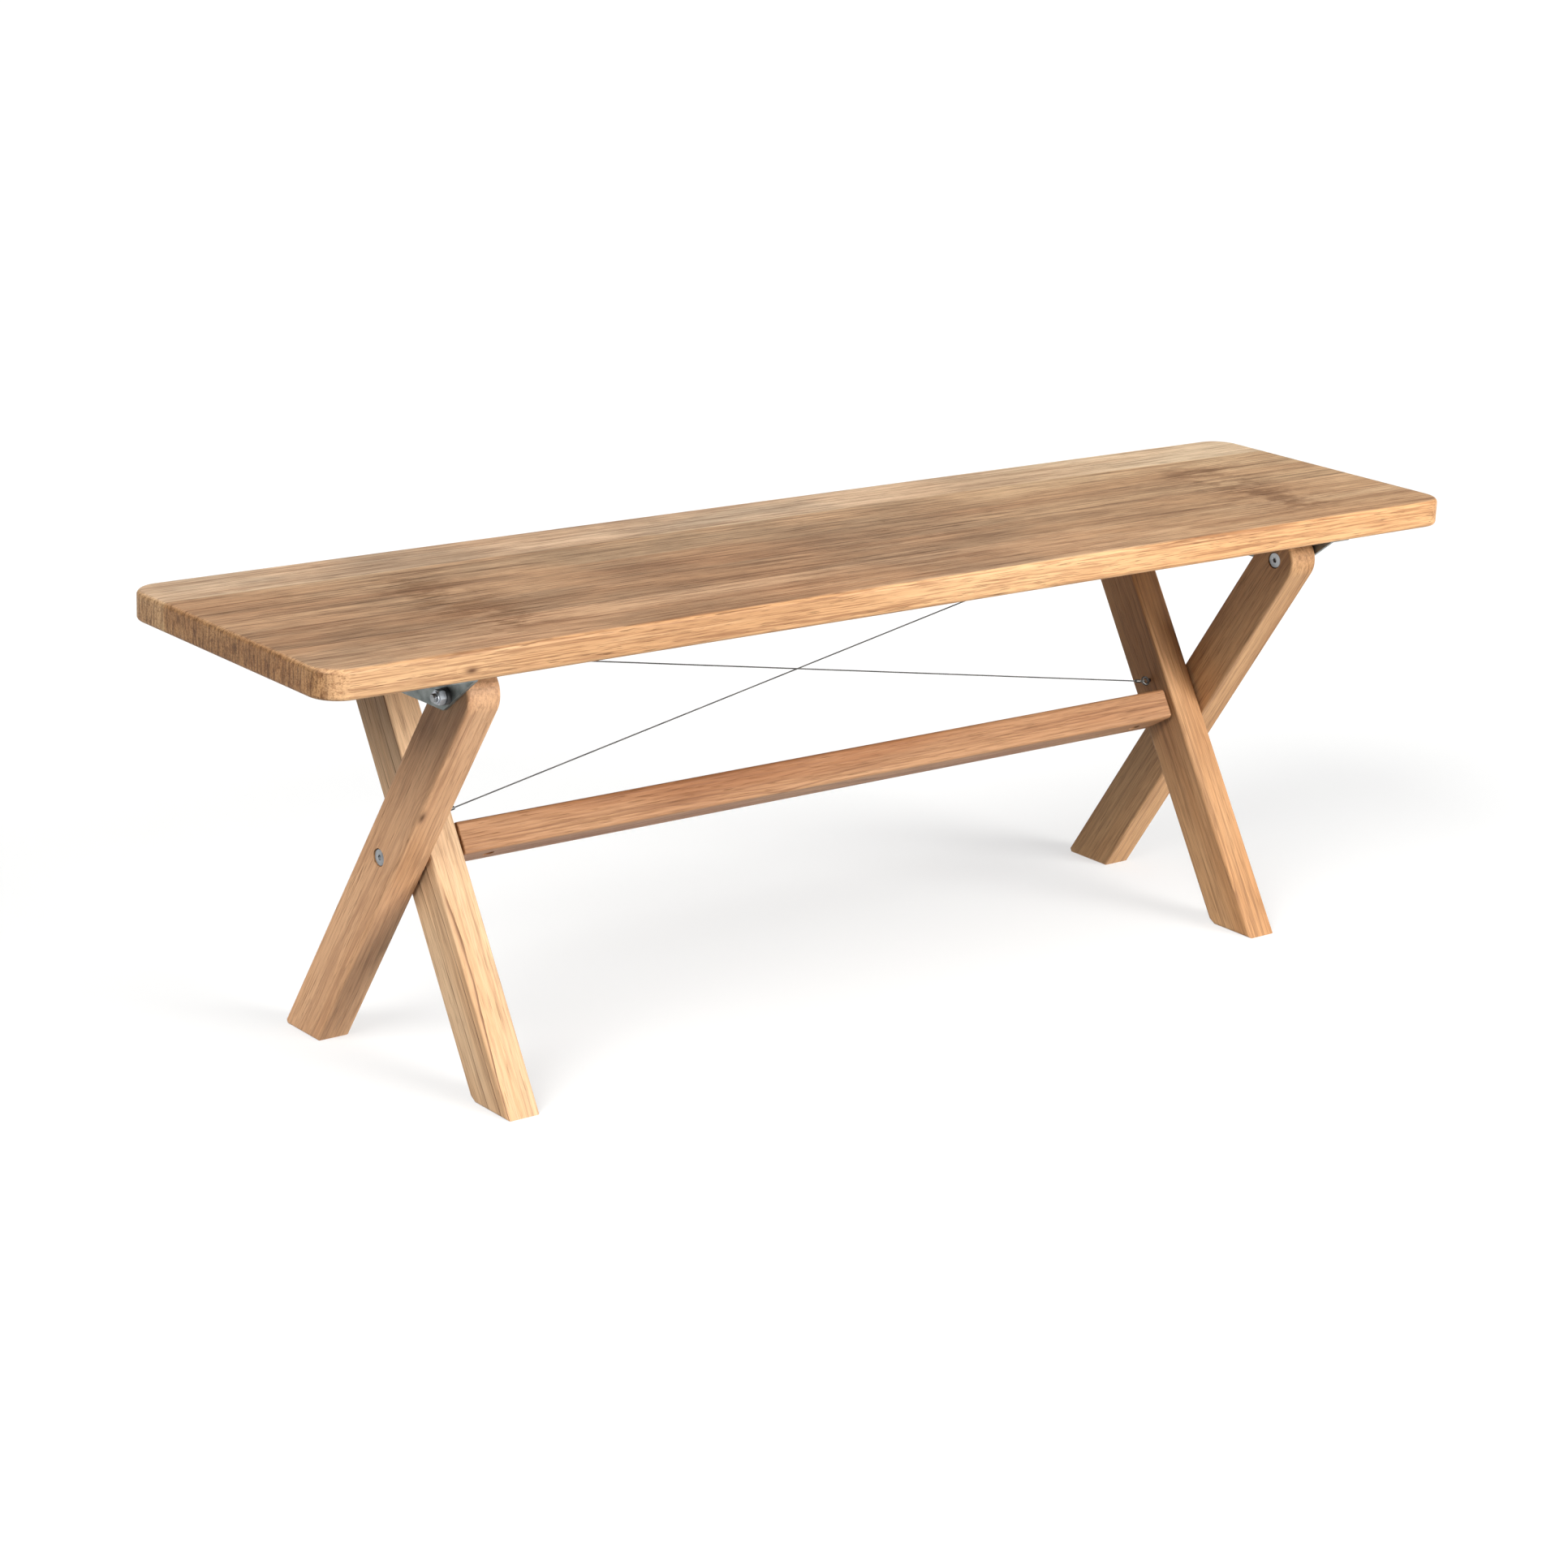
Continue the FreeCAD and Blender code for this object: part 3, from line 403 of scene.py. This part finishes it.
    height = g.math("MULTIPLY_ADD", pore_mask, -0.9, g.math("MULTIPLY", fine, 0.45))
    height = g.math("MULTIPLY_ADD", late, 0.35, height)
    rough = g.math("MULTIPLY_ADD", fine, 0.22, 0.42)
    rough = g.math("MULTIPLY_ADD", pore_mask, 0.15, rough)
    return g.finish(colour, rough, height, WOOD_RELIEF, IOR=1.46, Specular_IOR_Level=0.30)


def tilted(tilt):
    """Unit vectors up a leg and across it, for a tilt in degrees from upright."""
    t = math.radians(tilt)
    return Vector((0, math.sin(t), math.cos(t))), Vector((0, math.cos(t), -math.sin(t)))


# ---- metal and the dark washer ----
def metal(name, seed, colour, stain, roughness, grain_scale, scratch):
    """Steel with fine directional polish, faint clouding and a few scratches."""
    g = Graph(name)
    point = g.coords.outputs["Object"]
    polish = g.noise(g.stretched(point, grain_scale, seed), 2.0)
    cloud = g.noise(g.stretched(point, (60.0, 60.0, 60.0), seed + 5.0), 4.0, 0.6)
    nick = g.noise(g.stretched(point, (900.0, 300.0, 700.0), seed + 9.0), 3.0, 0.7)
    tone = g.mix(g.ramp(cloud, 0.35, 0.75), colour, stain)
    rough = g.math("MULTIPLY_ADD", cloud, 0.22, roughness - 0.08)
    rough = g.math("MULTIPLY_ADD", polish, 0.12, rough)
    height = g.math("MULTIPLY_ADD", g.ramp(nick, 0.62, 0.72), -scratch, g.math("MULTIPLY", polish, 0.5))
    return g.finish(tone, rough, height, STEEL_RELIEF, Metallic=1.0)


def dark_washer_finish(name, seed, colour, worn_colour):
    """Dull near-black finish with a faint grain."""
    g = Graph(name)
    point = g.coords.outputs["Object"]
    grain = g.noise(g.stretched(point, (1800.0, 1800.0, 1800.0), seed), 3.0)
    worn = g.noise(g.stretched(point, (150.0, 150.0, 150.0), seed + 4.0), 3.0)
    tone = g.mix(g.ramp(worn, 0.35, 0.70), colour, worn_colour)
    rough = g.math("MULTIPLY_ADD", grain, 0.2, 0.42)
    return g.finish(tone, rough, grain, DARK_WASHER_RELIEF, IOR=1.53)


# ---- what each node is made of ----
def paint(node, material):
    """Give a CAD node one material."""
    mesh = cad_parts[node].data
    mesh.materials.clear()
    mesh.materials.append(material)


def paint_staves():
    """Quarter-cut staves, rings nearly upright, each from its own log."""
    along = Vector((1, 0, 0))
    back = Vector((0, 1, 0))
    low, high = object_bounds()
    bars = (low.x * LEFT_BAR, high.x * RIGHT_BAR)
    for number, colours in enumerate(TOP_COLOURS, 1):
        node = "top_stave_%d" % number
        low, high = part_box(node)
        centre = (low + high) / 2
        side = -1 if number % 2 else 1
        pith = (centre.y + side * PITH_ASIDE, centre.z - PITH_BELOW - PITH_STEP * number)
        seam = (high.y, SAPWOOD_WIDTH, SAPWOOD) if number == SAPWOOD_STAVE else None
        knots = []
        if number == 1:
            from_end, below, size = STAVE_KNOT
            knots.append((low.x + from_end, low.y, high.z - below, size))
        paint(node, wood(
            "teak_" + node, 10.0 * number, along, back, pith, STAVE_RING_GAP,
            colours, TOP_LOOK, knots, seam, bars,
        ))


def paint_legs():
    """Legs with the grain along them, each from its own log; one has a knot at its front edge."""
    pivot = sum(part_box("pivot_bolt_left"), Vector((0, 0, 0))) / 2
    for node, tilt, seed, colours, look, pith_v, pith_w in LEGS:
        up, across = tilted(tilt)
        third = up.cross(across)
        low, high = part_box(node)
        centre = (low + high) / 2
        knots = []
        if node == "outer_leg_left":
            rise, aside, past, size = LEG_KNOT
            knots.append((pivot.dot(up) + rise, pivot.dot(across) + aside, low.dot(third) + past, size))
        pith = (centre.dot(across) + pith_v, centre.dot(third) + pith_w)
        paint(node, wood("teak_" + node, seed, up, across, pith, LEG_RING_GAP, colours, look, knots))


def paint_stretcher():
    """Teak stretcher and its beech dowels, both with the grain from side to side."""
    _, across = tilted(INNER_TILT)
    along = Vector((1, 0, 0))
    low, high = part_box("stretcher")
    centre = (low + high) / 2
    third = along.cross(across)
    pith = (centre.dot(across) + 0.03, centre.dot(third) + 0.10)
    paint("stretcher", wood(
        "teak_stretcher", 131.0, along, across, pith, STRETCHER_RING_GAP, STRETCHER_COLOURS, LEG_LOOK,
    ))
    pith = (centre.dot(across), centre.dot(third) + 0.05)
    paint("stretcher_dowels", wood(
        "beech_dowels", 149.0, along, across, pith, BEECH_RING_GAP, BEECH_COLOURS, LEG_LOOK,
    ))


def paint_fittings():
    """Give every metal piece and the dark washer its finish; the strands use the wires' steel again."""
    finishes = {}
    for name, look in STEELS.items():
        finishes[name] = metal(name, *look)
    finishes["black_nylon"] = dark_washer_finish("black_nylon", DARK_WASHER_SEED, DARK_WASHER_COLOUR, DARK_WASHER_WORN)
    for name, starts in FITTINGS.items():
        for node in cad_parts:
            if node.startswith(starts):
                paint(node, finishes[name])
    return finishes["wire_steel"]


# ---- brace wires ----
def hook_point(eye):
    """Middle of the eye's wire on its inward side, where the brace's loop pulls."""
    low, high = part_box(eye)
    inward_x = low.x + EYE_WIRE_R if low.x > 0 else high.x - EYE_WIRE_R
    return Vector((inward_x, (low.y + high.y) / 2, (low.z + high.z) / 2))


def loop_points(hook, inward, normal):
    """From the ferrule round the eye and back to the ferrule."""
    sideways = normal.cross(inward).normalized()
    beta = math.acos(LOOP_R / LOOP_LENGTH)
    sweep = 2 * math.pi - 2 * beta
    points = [hook + inward * LOOP_LENGTH]
    for i in range(LOOP_STEPS + 1):
        a = beta + sweep * i / LOOP_STEPS
        points.append(hook + (inward * math.cos(a) + sideways * math.sin(a)) * LOOP_R)
    points.append(hook + inward * LOOP_LENGTH)
    return points


def resample(points, spacing):
    """Points at even spacing along a polyline."""
    out = [points[0].copy()]
    left = spacing
    for start, end in zip(points, points[1:]):
        way = end - start
        length = way.length
        done = 0.0
        while length - done >= left:
            done += left
            out.append(start + way * (done / length))
            left = spacing
        left -= length - done
    return out


def strand_mesh(name, path):
    """Rope of round strands laid helically about a core strand, along the path."""
    strand_r = WIRE_R / 3
    step = STRAND_LAY / SAMPLES_PER_LAY
    tangents = []
    for i in range(len(path)):
        ahead = path[min(i + 1, len(path) - 1)]
        behind = path[max(i - 1, 0)]
        tangents.append((ahead - behind).normalized())
    out = tangents[0].orthogonal().normalized()
    frames = []
    for tangent in tangents:
        out = (out - tangent * out.dot(tangent)).normalized()
        frames.append((out.copy(), tangent.cross(out)))
    verts = []
    faces = []
    for strand in range(STRAND_COUNT + 1):
        offset = 0.0 if strand == STRAND_COUNT else WIRE_R - strand_r
        first = len(verts)
        for i, centre in enumerate(path):
            turn = 2 * math.pi * (i * step / STRAND_LAY + strand / STRAND_COUNT)
            a, b = frames[i]
            middle = centre + (a * math.cos(turn) + b * math.sin(turn)) * offset
            for k in range(STRAND_SIDES):
                angle = 2 * math.pi * k / STRAND_SIDES + turn
                verts.append(middle + (a * math.cos(angle) + b * math.sin(angle)) * strand_r)
        for i in range(len(path) - 1):
            for k in range(STRAND_SIDES):
                here = first + i * STRAND_SIDES
                beside = (k + 1) % STRAND_SIDES
                faces.append((here + k, here + beside, here + STRAND_SIDES + beside, here + STRAND_SIDES + k))
        last = first + (len(path) - 1) * STRAND_SIDES
        faces.append(tuple(first + k for k in reversed(range(STRAND_SIDES))))
        faces.append(tuple(last + k for k in range(STRAND_SIDES)))
    mesh = bpy.data.meshes.new(name)
    mesh.from_pydata(verts, [], faces)
    mesh.shade_smooth()
    return mesh


def add_brace_wires(material):
    """Two taut wires, each from a lower eye to the upper eye on the other side."""
    _, across = tilted(INNER_TILT)
    for letter in ("a", "b"):
        low_hook = hook_point("eye_lower_" + letter)
        high_hook = hook_point("eye_upper_" + letter)
        way = (high_hook - low_hook).normalized()
        normal = across.cross(way).normalized()
        points = loop_points(low_hook, way, normal) + loop_points(high_hook, -way, normal)
        path = resample(points, STRAND_LAY / SAMPLES_PER_LAY)
        name = "brace_wire_%s_strands" % letter
        wire = bpy.data.objects.new(name, strand_mesh(name, path))
        wire.data.materials.append(material)
        bpy.context.scene.collection.objects.link(wire)
        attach(wire, "inner_frame")
        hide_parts("brace_wire_" + letter)


# ---- surroundings ----
def add_floor():
    """Flat pale floor; its glow tops up the lit floor to an even level, so only shadows show."""
    lit = SKY_ABOVE * DOME_ON_FLOOR
    for _, way, strength in LAMPS:
        lit += strength * Vector(way).normalized().z
    g = Graph("pale_floor")
    shader = g.node("ShaderNodeBsdfPrincipled")
    shader.inputs["Base Color"].default_value = FLOOR_COLOUR
    shader.inputs["Roughness"].default_value = FLOOR_ROUGHNESS
    shader.inputs["Specular IOR Level"].default_value = 0.0
    shader.inputs["Emission Color"].default_value = FLOOR_GLOW
    shader.inputs["Emission Strength"].default_value = FLOOR_LEVEL - FLOOR_ALBEDO * lit
    g.node("ShaderNodeOutputMaterial", {"Surface": shader.outputs[0]})
    half = FLOOR_SIZE / 2
    mesh = bpy.data.meshes.new("floor")
    corners = [(-half, -half, 0), (half, -half, 0), (half, half, 0), (-half, half, 0)]
    mesh.from_pydata(corners, [], [(0, 1, 2, 3)])
    mesh.materials.append(g.material)
    floor = bpy.data.objects.new("floor", mesh)
    floor.visible_diffuse = False
    bpy.context.scene.collection.objects.link(floor)


def ball_mesh(name, radius, sides, rings):
    """Ball of quads between rings, closed with triangles at both poles."""
    verts = [(0.0, 0.0, radius)]
    for ring in range(1, rings):
        fall = math.pi * ring / rings
        wide = radius * math.sin(fall)
        for side in range(sides):
            turn = 2 * math.pi * side / sides
            verts.append((wide * math.cos(turn), wide * math.sin(turn), radius * math.cos(fall)))
    verts.append((0.0, 0.0, -radius))
    bottom = len(verts) - 1
    faces = []
    for side in range(sides):
        beside = (side + 1) % sides
        faces.append((0, 1 + side, 1 + beside))
        for ring in range(rings - 2):
            upper = 1 + ring * sides
            lower = upper + sides
            faces.append((upper + side, lower + side, lower + beside, upper + beside))
        faces.append((bottom, bottom - sides + beside, bottom - sides + side))
    mesh = bpy.data.meshes.new(name)
    mesh.from_pydata(verts, [], faces)
    return mesh


def add_backdrop():
    """Plain white shell round the studio; it is only looked at, and takes no part in the lighting."""
    g = Graph("white_backdrop")
    glow = g.node("ShaderNodeEmission", {"Color": (1.0, 1.0, 1.0, 1.0), "Strength": FLOOR_LEVEL})
    g.node("ShaderNodeOutputMaterial", {"Surface": glow.outputs[0]})
    mesh = ball_mesh("backdrop", BACKDROP_RADIUS, BACKDROP_SIDES, BACKDROP_RINGS)
    mesh.materials.append(g.material)
    backdrop = bpy.data.objects.new("backdrop", mesh)
    backdrop.visible_diffuse = False
    backdrop.visible_glossy = False
    backdrop.visible_transmission = False
    backdrop.visible_shadow = False
    bpy.context.scene.collection.objects.link(backdrop)


def add_lamp(name, way, strength):
    """Wide distant lamp; strength is the irradiance, over pi, that it gives a face turned to it."""
    data = bpy.data.lights.new(name, "SUN")
    data.angle = math.radians(LAMP_ANGLE)
    data.energy = strength * math.pi
    lamp = bpy.data.objects.new(name, data)
    lamp.rotation_euler = Vector(way).to_track_quat("Z", "Y").to_euler()
    bpy.context.scene.collection.objects.link(lamp)


def add_light():
    """Even studio: a dome that is pale overhead and underfoot, with a soft key and a soft fill."""
    world = bpy.data.worlds.new("studio")
    bpy.context.scene.world = world
    world.use_nodes = True
    tree = world.node_tree
    coords = tree.nodes.new("ShaderNodeTexCoord")
    split = tree.nodes.new("ShaderNodeSeparateXYZ")
    height = tree.nodes.new("ShaderNodeMath")
    height.operation = "MULTIPLY_ADD"
    height.inputs[1].default_value = 0.5
    height.inputs[2].default_value = 0.5
    dome = tree.nodes.new("ShaderNodeValToRGB")
    dome.color_ramp.elements.remove(dome.color_ramp.elements[1])
    for place, level in DOME:
        stop = dome.color_ramp.elements[0] if place == 0.0 else dome.color_ramp.elements.new(place)
        stop.color = (level, level, level, 1.0)
    background = tree.nodes["Background"]
    background.inputs["Strength"].default_value = 1.0
    tree.links.new(coords.outputs["Generated"], split.inputs[0])
    tree.links.new(split.outputs[2], height.inputs[0])
    tree.links.new(height.outputs[0], dome.inputs["Fac"])
    tree.links.new(dome.outputs["Color"], background.inputs["Color"])
    for name, way, strength in LAMPS:
        add_lamp(name, way, strength)


def add_camera():
    """Camera at the photograph's viewing angle, turned a little about its own line of sight."""
    forward = Vector((
        math.cos(CAMERA_PITCH) * math.sin(CAMERA_YAW),
        math.cos(CAMERA_PITCH) * math.cos(CAMERA_YAW),
        -math.sin(CAMERA_PITCH),
    ))
    level = Vector((math.cos(CAMERA_YAW), -math.sin(CAMERA_YAW), 0.0))
    upright = level.cross(forward)
    right = level * math.cos(CAMERA_ROLL) + upright * math.sin(CAMERA_ROLL)
    up = upright * math.cos(CAMERA_ROLL) - level * math.sin(CAMERA_ROLL)
    data = bpy.data.cameras.new("camera")
    data.lens = CAMERA_LENS
    data.sensor_width = CAMERA_SENSOR
    data.clip_end = CAMERA_REACH
    camera = bpy.data.objects.new("camera", data)
    turn = Matrix((right, up, -forward)).transposed()
    camera.matrix_world = Matrix.Translation(CAMERA_AT) @ turn.to_4x4()
    bpy.context.scene.collection.objects.link(camera)
    bpy.context.scene.camera = camera


paint_staves()
paint_legs()
paint_stretcher()
wire_material = paint_fittings()
add_brace_wires(wire_material)
add_floor()
add_backdrop()
add_light()
add_camera()
bpy.context.scene.view_settings.view_transform = "Standard"
